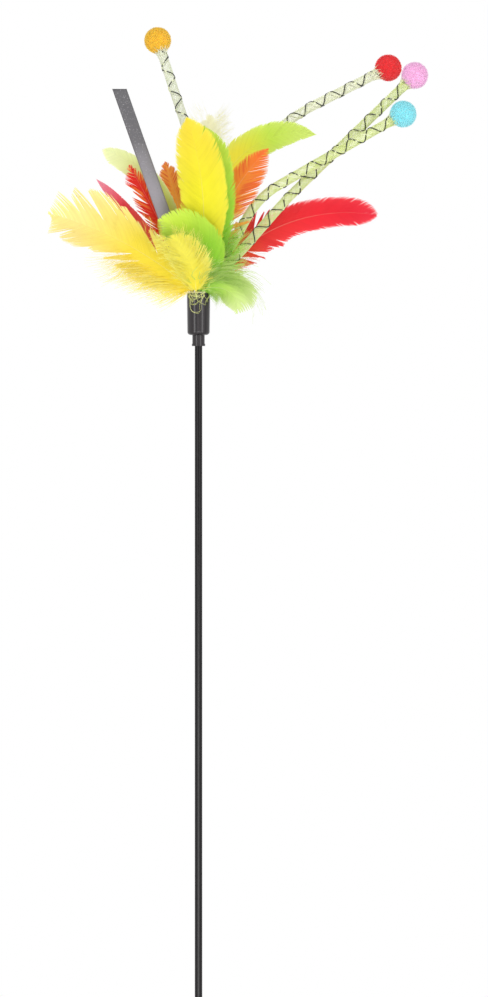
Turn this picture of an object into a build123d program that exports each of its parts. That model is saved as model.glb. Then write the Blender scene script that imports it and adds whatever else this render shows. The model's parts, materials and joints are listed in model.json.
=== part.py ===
from build123d import *
from dataclasses import dataclass
from math import atan2, cos, degrees, hypot, radians, sin
import os

# Cat teaser wand, in millimetres, standing upright with its head at the top.
# The origin is the middle of the grip cap's wall, +Z runs up the rod, +X is to the viewer's right
# and -Y is towards the viewer.

# Rod and grip cap
ROD_DIAMETER = 4.0
ROD_LENGTH = 420.0
CAP_WALL_LENGTH = 36.0
CAP_WALL = 1.0
CAP_FIT = 0.05

# Ferrule: a collar round the rod's end, a web over it and a cup for the bouquet
COLLAR_WALL = 1.25
COLLAR_LENGTH = 5.8
COLLAR_BEAD = 0.25
COLLAR_BEAD_HEIGHT = 1.2
ROD_FIT = 0.05
ROD_SEAT_DEPTH = 10.0
WEB = 1.5
CUP_DIAMETER = 12.4
CUP_FOOT_DIAMETER = 11.8
CUP_HEIGHT = 22.3
CUP_WALL = 0.9
CUP_FOOT_ROUND = 1.8
CUP_RIM_ROUND = 0.3

# Glue plug and the round seats in its top face
GLUE_FIT = 0.05
GLUE_PROUD = 0.6
GLUE_EDGE_ROUND = 0.4
SEAT_LAND = 0.15
SEAT_CLEARANCE = 0.15
SEAT_RISE = 0.25
ROOT_SWELL = 0.1

# Feathers
QUILL_DIAMETER = 1.1
QUILL_LENGTH = 6.0
VANE_RIB = 0.9
VANE_RIM = 0.35
VANE_TIP_RIB = 0.5
VANE_TIP = 1.0
CUP_DEPTH_PER_WIDTH = 0.16
TIP_BOW = 5.0
FULL_TILT = 40.0

# Outline of a vane: share of the way from quill to tip, and share of the widest half width
VANE_OUTLINE = ((0.12, 0.34), (0.32, 0.80), (0.55, 1.0), (0.78, 0.90), (0.93, 0.52))

# Mesh sleeves with their pompoms
SLEEVE_DIAMETER = 5.2
SLEEVE_WALL = 0.45
SLEEVE_ROOT_DIAMETER = 1.4
SLEEVE_GATHER_LENGTH = 30.0
SLEEVE_HOLLOW_FROM = 6.0
POMPOM_DIAMETER = 14.5
SOCKET_DEPTH = 3.0
SOCKET_FIT = 0.05
DAB_LENGTH = 4.0

# Film ribbon
RIBBON_WIDTH = 7.2
RIBBON_THICKNESS = 0.3
RIBBON_NECK_WIDTH = 1.0
RIBBON_GATHER_LENGTH = 14.0


@dataclass
class Feather:
    """One feather: its seat on the glue face as shares of the seat circle (right, back), the lean of
    its plane towards the viewer, its tip in the front view (right of the rod, above the mouth),
    the turn of its rachis to the right, its widest half widths left and right of the rachis and
    the share of the rachis that is straight before it turns."""

    seat: tuple
    tilt: float
    tip: tuple
    turn: float
    left: float
    right: float
    lead: float = 0.0


@dataclass
class Arm:
    """One mesh sleeve: its seat and plane as for a feather, its pompom's centre in the front view,
    its heading right of upright where it leaves and where it arrives, and the radius of its bend."""

    seat: tuple
    tilt: float
    pompom: tuple
    leave: float
    arrive: float
    bend: float


FEATHERS = {
    "feather_yellow_front": Feather((-0.30, -0.95), 45.0, (-15.0, 34.0), -30.0, 10.0, 10.0),
    "feather_lime_low": Feather((0.45, -0.88), 37.0, (20.0, -8.0), 150.0, 13.0, 8.0),
    "feather_lime_front": Feather((0.00, -0.68), 38.0, (-21.5, 41.0), -90.0, 13.0, 15.0),
    "feather_yellow_left": Feather((-0.66, -0.70), 20.0, (-80.0, 43.0), -28.0, 17.0, 16.0),
    "feather_yellow_centre": Feather((-0.28, -0.30), 31.0, (-6.0, 94.0), -26.0, 13.0, 14.0),
    "feather_lime_centre": Feather((0.20, -0.16), 24.0, (3.0, 89.0), -30.0, 9.0, 12.0),
    "feather_orange_right": Feather((0.02, 0.18), 18.0, (37.0, 77.0), 36.0, 8.0, 8.0),
    "feather_red_left": Feather((-0.97, 0.06), 0.0, (-37.0, 68.0), -8.0, 9.0, 7.0),
    "feather_red_right": Feather((0.80, 0.56), -17.0, (95.0, 42.0), 70.0, 9.0, 8.5),
    "feather_lime_left": Feather((-0.84, 0.44), -8.0, (-51.0, 76.0), -62.0, 8.0, 6.0, 0.45),
    "feather_orange_centre": Feather((-0.26, 0.70), -28.0, (-18.0, 72.0), -8.0, 6.0, 7.0),
    "feather_lime_right": Feather((0.46, 0.25), -10.0, (62.0, 84.5), 92.0, 10.0, 9.0, 0.4),
    "feather_red_tip": Feather((-0.62, 0.78), -17.0, (-54.0, 61.0), -10.0, 4.5, 4.5),
    "feather_cream_back": Feather((0.05, 1.00), -36.0, (6.0, 98.0), 10.0, 11.0, 11.0),
}

ARMS = {
    "yellow": Arm((0.13, 0.58), -16.0, (-21.8, 134.7), -2.0, -17.5, 150.0),
    "red": Arm((0.47, 0.86), -24.0, (100.9, 120.4), 16.0, 61.0, 95.0),
    "blue": Arm((0.93, -0.30), 8.0, (108.3, 94.6), 29.0, 60.0, 45.0),
    "pink": Arm((0.97, 0.14), -2.0, (114.6, 115.4), 41.0, 46.0, 200.0),
}

RIBBON_SEAT = (-0.92, -0.36)
RIBBON_TILT = 7.0
RIBBON_TOP = (-41.9, 107.6)

# Levels along the rod
ROD_FOOT = -CAP_WALL_LENGTH / 2
FERRULE_FOOT = ROD_FOOT + ROD_LENGTH - ROD_SEAT_DEPTH
CUP_FLOOR = ROD_SEAT_DEPTH + WEB
FERRULE_HEIGHT = COLLAR_LENGTH + CUP_HEIGHT
MOUTH = FERRULE_FOOT + FERRULE_HEIGHT
SEAT_LEVEL = MOUTH + GLUE_PROUD

# Sizes that follow from the fits
CAP_BORE = ROD_DIAMETER + 2 * CAP_FIT
CAP_DIAMETER = CAP_BORE + 2 * CAP_WALL
COLLAR_BORE = ROD_DIAMETER + 2 * ROD_FIT
COLLAR_DIAMETER = COLLAR_BORE + 2 * COLLAR_WALL
CAVITY_RADIUS = CUP_DIAMETER / 2 - CUP_WALL
QUILL_ROOT_RADIUS = QUILL_DIAMETER / 2 + ROOT_SWELL
SLEEVE_ROOT_RADIUS = SLEEVE_ROOT_DIAMETER / 2 + ROOT_SWELL
SLEEVE_BORE_RADIUS = SLEEVE_DIAMETER / 2 - SLEEVE_WALL
SEAT_CIRCLE = CAVITY_RADIUS - GLUE_FIT - SEAT_LAND - SEAT_CLEARANCE - SLEEVE_ROOT_RADIUS


def cup_radius(height):
    """Outer radius of the ferrule's tapered cup at a height above the ferrule's foot."""
    share = (height - COLLAR_LENGTH) / CUP_HEIGHT
    return (CUP_FOOT_DIAMETER + share * (CUP_DIAMETER - CUP_FOOT_DIAMETER)) / 2


def pivot(seat):
    """Centre of a root's seat, a little above the glue face so that the stem can lean."""
    return Vector(seat[0] * SEAT_CIRCLE, seat[1] * SEAT_CIRCLE, SEAT_LEVEL + SEAT_RISE)


def swing_plane(seat, tilt):
    """Plane that a stem lies and swings in: x to the right, y up the stem, z towards the viewer."""
    lean = radians(tilt)
    return Plane(origin=pivot(seat), x_dir=(1, 0, 0), z_dir=(0, -cos(lean), -sin(lean)))


def in_plane(seat, tilt, front_view):
    """A place in the front view, measured from the mouth's centre, as a point of the swing plane."""
    across = front_view[0] - seat[0] * SEAT_CIRCLE
    up = (front_view[1] - GLUE_PROUD - SEAT_RISE) / cos(radians(tilt))
    return across, up


def heading(angle):
    """Unit vector at an angle to the right of the plane's y axis."""
    return Vector(sin(radians(angle)), cos(radians(angle)), 0)


def root_ball(radius):
    return Sphere(radius)


def rod():
    return Pos(0, 0, ROD_FOOT) * Cylinder(
        ROD_DIAMETER / 2, ROD_LENGTH, align=(Align.CENTER, Align.CENTER, Align.MIN)
    )


def grip_cap():
    """Slip-on cap with a round end, closed under the rod's foot."""
    wall = Cylinder(CAP_DIAMETER / 2, CAP_WALL_LENGTH)
    end = Pos(0, 0, ROD_FOOT) * Sphere(CAP_DIAMETER / 2)
    bore = Cylinder(CAP_BORE / 2, CAP_WALL_LENGTH)
    return wall + end - bore


def ferrule():
    """One stepped moulding, turned from its half section."""
    bead = COLLAR_DIAMETER / 2 + COLLAR_BEAD
    half_section = make_face(
        Polyline(
            (COLLAR_BORE / 2, 0),
            (bead, 0),
            (bead, COLLAR_BEAD_HEIGHT),
            (COLLAR_DIAMETER / 2, COLLAR_BEAD_HEIGHT),
            (COLLAR_DIAMETER / 2, COLLAR_LENGTH),
            (cup_radius(COLLAR_LENGTH), COLLAR_LENGTH),
            (cup_radius(FERRULE_HEIGHT), FERRULE_HEIGHT),
            (cup_radius(FERRULE_HEIGHT) - CUP_WALL, FERRULE_HEIGHT),
            (cup_radius(CUP_FLOOR) - CUP_WALL, CUP_FLOOR),
            (0, CUP_FLOOR),
            (0, ROD_SEAT_DEPTH),
            (COLLAR_BORE / 2, ROD_SEAT_DEPTH),
            close=True,
        )
    )
    foot_corner = Vector(cup_radius(COLLAR_LENGTH), COLLAR_LENGTH, 0)
    rim_corner = Vector(cup_radius(FERRULE_HEIGHT), FERRULE_HEIGHT, 0)
    half_section = fillet(half_section.vertices().sort_by_distance(foot_corner)[0], CUP_FOOT_ROUND)
    half_section = fillet(half_section.vertices().sort_by_distance(rim_corner)[0], CUP_RIM_ROUND)
    return Pos(0, 0, FERRULE_FOOT) * revolve(Plane.XZ * half_section, Axis.Z)


def glue_plug():
    """Hot-melt plug that fills the cup, with a round seat for every root in its proud top face."""
    floor = Plane((0, 0, FERRULE_FOOT + CUP_FLOOR)) * Circle(cup_radius(CUP_FLOOR) - CUP_WALL - GLUE_FIT)
    top = Plane((0, 0, SEAT_LEVEL)) * Circle(CAVITY_RADIUS - GLUE_FIT)
    plug = loft([floor, top])
    plug = fillet(plug.edges().sort_by(Axis.Z)[-1], GLUE_EDGE_ROUND)
    seats = [(feather.seat, QUILL_ROOT_RADIUS) for feather in FEATHERS.values()]
    seats += [(arm.seat, SLEEVE_ROOT_RADIUS) for arm in ARMS.values()]
    seats += [(RIBBON_SEAT, QUILL_ROOT_RADIUS)]
    for seat, root_radius in seats:
        plug -= Pos(pivot(seat)) * Sphere(root_radius + SEAT_CLEARANCE)
    return plug


def vane_section(left, right, rib, rim, dip):
    """Thin crescent across a feather: rib thick at the rachis, rim thick at the edges."""
    upper = Bezier((-left, dip - rim / 2), (0, -rib - dip + rim / 2), (right, dip - rim / 2))
    right_edge = Line((right, dip - rim / 2), (right, dip + rim / 2))
    lower = Bezier((right, dip + rim / 2), (0, rib - dip - rim / 2), (-left, dip + rim / 2))
    left_edge = Line((-left, dip + rim / 2), (-left, dip - rim / 2))
    return make_face([upper, right_edge, lower, left_edge])


def feather_solid(feather):
    """Root ball, quill and vane, lofted along a rachis in the swing plane that bows outwards."""
    across, up = in_plane(feather.seat, feather.tilt, feather.tip)
    turn = radians(feather.turn)
    unit_across = (1 - feather.lead) * (1 - cos(turn)) / turn
    unit_up = feather.lead + (1 - feather.lead) * sin(turn) / turn
    length = hypot(across, up) / hypot(unit_across, unit_up)
    start = degrees(atan2(across, up) - atan2(unit_across, unit_up))
    straight = feather.lead * length
    radius = (length - straight) / turn
    outward = feather.tilt / FULL_TILT

    def station(along):
        """Plane across the rachis at a distance from its root."""
        angle = start + feather.turn * max(along - straight, 0) / (length - straight)
        place = heading(start) * min(along, straight) + Vector(
            radius * (cos(radians(start)) - cos(radians(angle))),
            radius * (sin(radians(angle)) - sin(radians(start))),
            TIP_BOW * outward * (along / length) ** 2,
        )
        rise = 2 * TIP_BOW * outward * along / length**2
        ahead = heading(angle) + Vector(0, 0, rise)
        return Plane(origin=place, x_dir=(cos(radians(angle)), -sin(radians(angle)), 0), z_dir=ahead)

    quill = vane_section(QUILL_DIAMETER / 2, QUILL_DIAMETER / 2, QUILL_DIAMETER, QUILL_DIAMETER / 2, 0)
    sections = [station(0) * quill, station(QUILL_LENGTH) * quill]
    for share, width in VANE_OUTLINE:
        left = feather.left * width
        right = feather.right * width
        dip = CUP_DEPTH_PER_WIDTH * outward * (left + right) / 2
        along = QUILL_LENGTH + share * (length - QUILL_LENGTH)
        rib = VANE_RIB + share * (VANE_TIP_RIB - VANE_RIB)
        sections.append(station(along) * vane_section(left, right, rib, VANE_RIM, dip))
    sections.append(station(length) * vane_section(VANE_TIP, VANE_TIP, VANE_TIP_RIB, VANE_RIM, 0))
    blade = loft(sections) + root_ball(QUILL_ROOT_RADIUS)
    return swing_plane(feather.seat, feather.tilt) * blade


def arm_runs(arm):
    """Straight lengths before and after the bend that bring the sleeve's axis to its pompom's centre."""
    across, up = in_plane(arm.seat, arm.tilt, arm.pompom)
    leave = heading(arm.leave)
    arrive = heading(arm.arrive)
    radius = arm.bend if arm.arrive > arm.leave else -arm.bend
    across -= radius * (leave.Y - arrive.Y)
    up -= radius * (arrive.X - leave.X)
    cross = leave.X * arrive.Y - leave.Y * arrive.X
    first = (across * arrive.Y - up * arrive.X) / cross
    last = (leave.X * up - leave.Y * across) / cross
    return first, last


def arm_solids(arm):
    """Gathered and open mesh sleeve with its root ball, the pompom on its end and the glue between."""
    first, last = arm_runs(arm)
    leave = heading(arm.leave)
    arrive = heading(arm.arrive)
    stem_end = last - POMPOM_DIAMETER / 2 + SOCKET_DEPTH
    bend = JernArc(leave * first, leave, arm.bend, arm.leave - arm.arrive)
    tube_start = leave * SLEEVE_GATHER_LENGTH
    tube_end = bend @ 1 + arrive * stem_end
    path = Line(tube_start, leave * first) + bend + Line(bend @ 1, tube_end)
    ring = Circle(SLEEVE_DIAMETER / 2) - Circle(SLEEVE_BORE_RADIUS)
    tube = sweep(Plane(tube_start, z_dir=leave) * ring, path)
    print("sleeve length", round(first + bend.length + stem_end, 1))

    spread = (SLEEVE_DIAMETER - SLEEVE_ROOT_DIAMETER) / 2
    gathered = spread * SLEEVE_HOLLOW_FROM / SLEEVE_GATHER_LENGTH
    hollow_radius = SLEEVE_ROOT_DIAMETER / 2 + gathered - SLEEVE_WALL
    from_foot = (Align.CENTER, Align.CENTER, Align.MIN)
    gather = Plane(origin=(0, 0, 0), z_dir=leave) * Cone(
        SLEEVE_ROOT_DIAMETER / 2, SLEEVE_DIAMETER / 2, SLEEVE_GATHER_LENGTH, align=from_foot
    )
    hollow = Plane(leave * SLEEVE_HOLLOW_FROM, z_dir=leave) * Cone(
        hollow_radius, SLEEVE_BORE_RADIUS, SLEEVE_GATHER_LENGTH - SLEEVE_HOLLOW_FROM, align=from_foot
    )
    sleeve = gather - hollow + tube + root_ball(SLEEVE_ROOT_RADIUS)

    back_along_sleeve = Plane(tube_end, z_dir=-arrive)
    socket = back_along_sleeve * Cylinder(SLEEVE_DIAMETER / 2 + SOCKET_FIT, POMPOM_DIAMETER, align=from_foot)
    ball = Pos(tube_end + arrive * (POMPOM_DIAMETER / 2 - SOCKET_DEPTH)) * Sphere(POMPOM_DIAMETER / 2)
    dab = back_along_sleeve * Cylinder(SLEEVE_BORE_RADIUS - SOCKET_FIT, DAB_LENGTH, align=from_foot)
    plane = swing_plane(arm.seat, arm.tilt)
    return plane * sleeve, plane * (ball - socket), plane * dab


def ribbon():
    """Flat strip gathered to a narrow root, its top cut level."""
    across, up = in_plane(RIBBON_SEAT, RIBBON_TILT, RIBBON_TOP)
    angle = atan2(across, up)
    ahead = Vector(sin(angle), cos(angle), 0)
    side = Vector(cos(angle), -sin(angle), 0)
    shoulder = ahead * RIBBON_GATHER_LENGTH
    level_half_width = Vector(RIBBON_WIDTH / 2 / cos(angle), 0, 0)
    top = Vector(across, up, 0)
    outline = Polyline(
        side * (-RIBBON_NECK_WIDTH / 2),
        shoulder - side * (RIBBON_WIDTH / 2),
        top - level_half_width,
        top + level_half_width,
        shoulder + side * (RIBBON_WIDTH / 2),
        side * (RIBBON_NECK_WIDTH / 2),
        close=True,
    )
    strip = extrude(make_face(outline), RIBBON_THICKNESS / 2, both=True)
    return swing_plane(RIBBON_SEAT, RIBBON_TILT) * (strip + root_ball(QUILL_ROOT_RADIUS))


def wand():
    """All pieces by name."""
    pieces = {
        "rod": rod(),
        "grip_cap": grip_cap(),
        "ferrule": ferrule(),
        "glue_plug": glue_plug(),
        "ribbon": ribbon(),
    }
    for colour, arm in ARMS.items():
        sleeve, pompom, dab = arm_solids(arm)
        pieces["sleeve_" + colour] = sleeve
        pieces["pompom_" + colour] = pompom
        pieces["glue_dab_" + colour] = dab
    for name, feather in FEATHERS.items():
        pieces[name] = feather_solid(feather)
    return pieces


os.makedirs("parts", exist_ok=True)
for node, shape in wand().items():
    export_step(shape, "parts/" + node + ".step")
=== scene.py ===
import json
from dataclasses import dataclass
from math import atan2, cos, hypot, pi, radians, sin
import bpy
from mathutils import Matrix, Vector


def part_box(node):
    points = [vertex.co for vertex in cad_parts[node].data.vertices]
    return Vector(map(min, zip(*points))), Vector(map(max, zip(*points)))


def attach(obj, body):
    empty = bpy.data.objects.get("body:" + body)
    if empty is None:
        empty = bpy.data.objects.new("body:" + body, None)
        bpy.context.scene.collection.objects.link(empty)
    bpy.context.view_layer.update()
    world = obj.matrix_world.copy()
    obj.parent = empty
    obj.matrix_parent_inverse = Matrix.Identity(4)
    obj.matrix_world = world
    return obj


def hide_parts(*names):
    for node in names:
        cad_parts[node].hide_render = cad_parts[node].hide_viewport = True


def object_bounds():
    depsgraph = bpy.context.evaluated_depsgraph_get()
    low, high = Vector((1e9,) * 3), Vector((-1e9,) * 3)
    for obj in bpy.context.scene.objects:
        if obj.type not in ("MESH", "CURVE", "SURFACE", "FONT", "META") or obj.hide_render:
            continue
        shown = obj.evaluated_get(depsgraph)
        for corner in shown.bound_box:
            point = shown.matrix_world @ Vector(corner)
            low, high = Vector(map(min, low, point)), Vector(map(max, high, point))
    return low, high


# Looks of the cat teaser wand, in metres, in the frame of its solids.
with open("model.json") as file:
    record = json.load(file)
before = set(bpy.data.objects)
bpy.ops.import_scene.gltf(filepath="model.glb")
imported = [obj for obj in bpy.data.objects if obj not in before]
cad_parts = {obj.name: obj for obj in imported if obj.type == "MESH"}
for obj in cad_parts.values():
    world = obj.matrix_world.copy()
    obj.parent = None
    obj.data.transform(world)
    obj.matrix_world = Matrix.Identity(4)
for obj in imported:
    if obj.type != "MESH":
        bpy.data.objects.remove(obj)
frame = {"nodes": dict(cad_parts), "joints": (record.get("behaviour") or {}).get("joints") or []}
cad_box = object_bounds()
MM = 0.001

# Sizes shared with the solids
CUP_RADIUS = 6.2 * MM
QUILL_DIAMETER = 1.1 * MM
QUILL_LENGTH = 6.0 * MM
CUP_DEPTH_PER_WIDTH = 0.16
TIP_BOW = 5.0 * MM
FULL_TILT = radians(40.0)
SLEEVE_DIAMETER = 5.2 * MM
SLEEVE_ROOT_DIAMETER = 1.4 * MM
SLEEVE_GATHER_LENGTH = 30.0 * MM
POMPOM_DIAMETER = 14.5 * MM
SOCKET_DEPTH = 3.0 * MM
RIBBON_WIDTH = 7.2 * MM
RIBBON_NECK_WIDTH = 1.0 * MM
RIBBON_GATHER_LENGTH = 14.0 * MM
RIBBON_TOP = (-41.9, 107.6)

# Outline of a vane: share of the way from quill to tip, and share of the widest half width
VANE_OUTLINE = (
    (0.0, 0.12), (0.12, 0.36), (0.32, 0.82), (0.55, 1.0), (0.78, 0.90), (0.93, 0.52), (1.0, 0.10),
)

# Shares of the vane where its end starts to round off, and between which a half that widens does so
TIP_ROUNDED_FROM = 0.9
WIDENING = (0.2, 0.75)

# Barbs: sizes, places on the rachis, and the slopes, powers and shares that shape them
BARB_THICKNESS = 0.08 * MM
BARB_STEPS = 8
BARB_PLACES = (0.3, 0.7)
BARB_SLOPE = 0.14
BARB_SWEEP = 1.15
BARB_BEND = 1.15
BARB_SPREAD = 0.95
BARB_UNEVEN = 0.09
BLUNT_POINT = 6.0
FINE_POINT = 1.0
POINT_TAPER = 0.8
LOWEST_ROOT = 0.8
OWN_TONE = 0.6

# Clumps that the barbs gather in, and where the clumps of a combed vane part
CLUMP_STAGGER = 0.23
CLUMP_WAVES = 2.3
CLUMP_UNEVEN = 0.35
CLUMP_LIFT = 0.2 * MM
COMB_FULL = 0.7
COMB_START = (0.12, 0.36)

# Down near the quill: how far up it is full, how much lower it starts, and how it strays and waves
DOWN_FULL = 0.55
DOWN_DROP = 4.0 * MM
DOWN_STRAY = 0.3
DOWN_THINNER = 0.35
DOWN_WAVES = 7.0
DOWN_WAVE = 0.5 * MM
FLUFF_PER_WIDTH = 0.12
WILD_TURN = 6.3

# Loose hairs: thickness, where they start, how full, long and leaning they are, and how they wave
HAIR = 0.13 * MM
HAIR_FLATNESS = 0.25
HAIR_STEPS = 7
HAIR_LOWEST = 0.2
HAIR_SINKING = (0.0, 0.2)
HAIR_LEAST_FULLNESS = 0.75
HAIR_SHORTEST = 0.35
HAIR_LEAN = (0.5, 1.7)
HAIR_CURL = 0.25
HAIR_REACH = 1.15
HAIR_HIDDEN = 0.7
HAIR_DEPTH = 0.35
HAIR_WAVES = 8.0
HAIR_WAVE = 0.6 * MM

# Rachis: width above the quill, its length and taper as shares, and how it thins out in down
RACHIS = 0.7 * MM
RACHIS_STEPS = 48
RACHIS_LENGTH = 0.98
RACHIS_TAPER = 0.75
RACHIS_IN_DOWN = 0.6
QUILL_ENDING = (0.0, 0.1)
RACHIS_THINNING = (0.0, 0.2)

# Mesh sleeves, their zigzag thread and frayed ends
MESH_THREAD = 0.26 * MM
MESH_THREADS = 20
MESH_PITCH = 17.0 * MM
MESH_STRAY = 0.015
MESH_STEPS = 150
THREAD_FLATNESS = 0.5
ZIGZAG_THREAD = 0.85 * MM
ZIGZAG_THREADS = 1
ZIGZAG_PITCH = 12.0 * MM
ZIGZAG_START = 0.4 * SLEEVE_GATHER_LENGTH
ZIGZAG_STRAY = 0.03
ZIGZAG_STEPS = 200
FRAY_LENGTH = 6.0 * MM
FRAY_SHORT_OF_END = 0.3 * MM
FRAY_THREADS = 11
FRAY_FLARE = 1.9 * MM
FRAY_LEAST_FLARE = 0.4
FRAY_PITCH = 50.0 * MM
FRAY_STRAY = 0.2
FRAY_STEPS = 12

# Pompoms: core and fibre lengths are shares of the radius
POMPOM_FIBRES = 3200
POMPOM_FIBRE = 0.25 * MM
POMPOM_CORE = 0.88
FIBRE_STEPS = 4
FIBRE_CURL = 1.1 * MM
FIBRE_ROOT = 0.9
FIBRE_LENGTH = (0.82, 1.02)
FIBRE_STOUTNESS = 1.3
FIBRE_SCATTER = 0.4
GOLDEN_ANGLE = pi * (3.0 - 5.0 ** 0.5)
CORE_LUMPS_PER_METRE = 420.0
CORE_LUMP_HEIGHT = 1.4 * MM
CORE_FINENESS = 4

# Loose threads at the ferrule's mouth: places and loops are angles round the cup, in radians
STRAY_THREADS = 14
STRAY_THREAD = 0.11 * MM
STRAY_STEPS = 40
STRAY_HANG = 11.0 * MM
STRAY_LEAST_HANG = 0.2
STRAY_FEW_HANG = 2.5
STRAY_BELLY = 1.4
STRAY_RISE = 1.6 * MM
STRAY_INSIDE = 0.66
STRAY_OVER_RIM = (0.05, 0.4)
STRAY_CLEARANCE = 0.3 * MM
STRAY_PLACES = (-0.675, 0.825)
STRAY_LOOP = (0.5, 2.2)
STRAY_WAVES = 14.0
STRAY_WILD_TURN = 6.0
STRAY_WAVE = 0.16

# Film ribbon: its pleats, cupping, crease and waver
FILM_THICKNESS = 0.12 * MM
RIBBON_STEPS = 90
RIBBON_STEPS_ACROSS = 13
PLEATS_ACROSS = 19.0
PLEAT_DEPTH = 0.35 * MM
RIBBON_CUPPING = 1.2 * MM
CREASE_HEIGHT = 84.0 * MM
CREASE_SLOPE = 0.1
WAVER_PER_METRE = 160.0
WAVER_DEPTH = 0.25 * MM

# How strongly the parts of a feather dye show
EDGE_TINT = 0.55
DOWN_TINT = 0.7
STREAK_TINT = 0.85
SHADE_TINT = 0.5
SHAFT_TINT = 0.15

# Seeds of the random numbers
SEED_STEP = 17.0
FIRST_FEATHER_SEED = 1
FIRST_ARM_SEED = 31
FRAY_SEED_STEP = 9
STRAY_SEED = 5

# Camera and the photographed field
VIEW_HEIGHT = 528.4 * MM
VIEW_CENTRE = (24.1 * MM, 311.2 * MM)
CAMERA_DISTANCE = 12.0
CAMERA_CLIP = 300.0
SENSOR = 36.0

# Light and floor: the point the lamps face, the world's level, and the share of the floor that is solid
LAMP_TARGET = (0.02, 0.0, 0.47)
SURROUND_LEVEL = 0.56
FLOOR_RADIUS = 0.55
FLOOR_SOLID = 0.4


@dataclass
class Make:
    """How a feather's vane is made: share that is down, number of clumps, how far they split, how ragged
    their edge is, spacing and width of the barbs in millimetres, number of loose hairs, their length
    against the half width, the share of them right of the rachis, the share of the vane up to which the
    clumps part and how much longer the barbs are there."""

    down: float
    clumps: int
    split: float
    ragged: float
    spacing: float
    barb: float
    hairs: int
    hair_length: float
    hairs_right: float = 0.5
    combed: float = 2.0
    comb_reach: float = 0.0


@dataclass
class Feather:
    """One feather: tip in the front view and half widths in millimetres, turn of its rachis in degrees,
    most of them as in the solids, then its dye, its make, how blunt its end is, the share of its rachis
    that is straight before it turns and how much its right half widens towards the tip."""

    tip: tuple
    turn: float
    left: float
    right: float
    dye: str
    make: str
    blunt: float
    lead: float = 0.0
    widen: float = 0.0


@dataclass
class Arm:
    """One mesh sleeve: pompom centre in the front view in millimetres, headings where it leaves and
    arrives in degrees and bend radius in millimetres."""

    pompom: tuple
    leave: float
    arrive: float
    bend: float


MAKES = {
    "smooth": Make(
        down=0.2, clumps=7, split=0.05, ragged=0.05, spacing=0.42, barb=1.7,
        hairs=400, hair_length=0.9,
    ),
    "fringed": Make(
        down=0.35, clumps=6, split=0.06, ragged=0.05, spacing=0.42, barb=1.7,
        hairs=900, hair_length=1.5,
    ),
    "lobed": Make(
        down=0.45, clumps=7, split=0.55, ragged=0.3, spacing=0.42, barb=1.7,
        hairs=1100, hair_length=1.3, hairs_right=0.05,
    ),
    "comb": Make(
        down=0.25, clumps=16, split=0.45, ragged=0.4, spacing=0.5, barb=1.0,
        hairs=200, hair_length=0.9,
    ),
    "wide_comb": Make(
        down=0.25, clumps=16, split=0.45, ragged=0.4, spacing=0.5, barb=1.0,
        hairs=200, hair_length=0.9, hairs_right=0.5, combed=0.8, comb_reach=0.4,
    ),
    "striped": Make(
        down=0.25, clumps=12, split=0.25, ragged=0.3, spacing=0.45, barb=1.2,
        hairs=200, hair_length=0.9,
    ),
    "downy": Make(
        down=1.0, clumps=6, split=0.2, ragged=0.2, spacing=0.42, barb=1.7,
        hairs=1000, hair_length=1.25,
    ),
    "airy": Make(
        down=1.0, clumps=6, split=0.2, ragged=0.2, spacing=0.42, barb=1.7,
        hairs=2000, hair_length=1.25, hairs_right=0.7,
    ),
    "half_combed": Make(
        down=0.3, clumps=22, split=0.75, ragged=0.3, spacing=0.45, barb=1.2,
        hairs=700, hair_length=1.3, hairs_right=0.3, combed=0.55, comb_reach=0.7,
    ),
    "tufted": Make(
        down=0.3, clumps=7, split=0.05, ragged=0.05, spacing=0.42, barb=1.7,
        hairs=900, hair_length=1.7, hairs_right=0.85,
    ),
}

# Tip, turn, left and right half width, dye, make and bluntness
FEATHERS = {
    "feather_yellow_front": Feather((-15.0, 34.0), -30.0, 10.0, 10.0, "yellow_down", "downy", 0.3),
    "feather_lime_low": Feather((20.0, -8.0), 150.0, 13.0, 8.0, "lime_pale", "fringed", 0.0),
    "feather_lime_front": Feather((-21.5, 41.0), -90.0, 13.0, 15.0, "lime_bright", "smooth", 0.2),
    "feather_yellow_left": Feather((-80.0, 43.0), -28.0, 17.0, 14.0, "yellow_pale", "lobed", 0.45, widen=0.6),
    "feather_yellow_centre": Feather((-6.0, 94.0), -26.0, 13.0, 14.0, "yellow_bright", "smooth", 0.1),
    "feather_lime_centre": Feather((3.0, 89.0), -30.0, 9.0, 12.0, "lime_bright", "tufted", 0.1),
    "feather_orange_right": Feather((37.0, 77.0), 36.0, 8.0, 11.5, "orange", "wide_comb", 0.0),
    "feather_red_left": Feather((-37.0, 68.0), -8.0, 9.0, 7.0, "red_deep", "comb", 0.2),
    "feather_red_right": Feather((95.0, 42.0), 70.0, 9.5, 8.5, "red_bright", "half_combed", 0.65),
    "feather_lime_left": Feather((-51.0, 76.0), -62.0, 8.5, 4.5, "lime_faint", "smooth", 0.65, lead=0.45),
    "feather_orange_centre": Feather((-18.0, 72.0), -8.0, 8.5, 8.0, "orange_lit", "striped", 0.2),
    "feather_lime_right": Feather((62.0, 84.5), 92.0, 10.0, 9.0, "lime_leaf", "smooth", 0.0, lead=0.4),
    "feather_red_tip": Feather((-54.0, 61.0), -10.0, 3.2, 3.2, "red_pink", "smooth", 0.1),
    "feather_cream_back": Feather((6.0, 98.0), 10.0, 11.0, 11.0, "cream_down", "airy", 0.4),
}

ARMS = {
    "yellow": Arm(pompom=(-21.8, 134.7), leave=-2.0, arrive=-17.5, bend=150.0),
    "red": Arm(pompom=(100.9, 120.4), leave=16.0, arrive=61.0, bend=95.0),
    "blue": Arm(pompom=(108.3, 94.6), leave=29.0, arrive=60.0, bend=45.0),
    "pink": Arm(pompom=(114.6, 115.4), leave=41.0, arrive=46.0, bend=200.0),
}


@dataclass
class Lamp:
    """One soft lamp: width and height in metres, power in watts and place."""

    size: tuple
    power: float
    place: tuple


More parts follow.
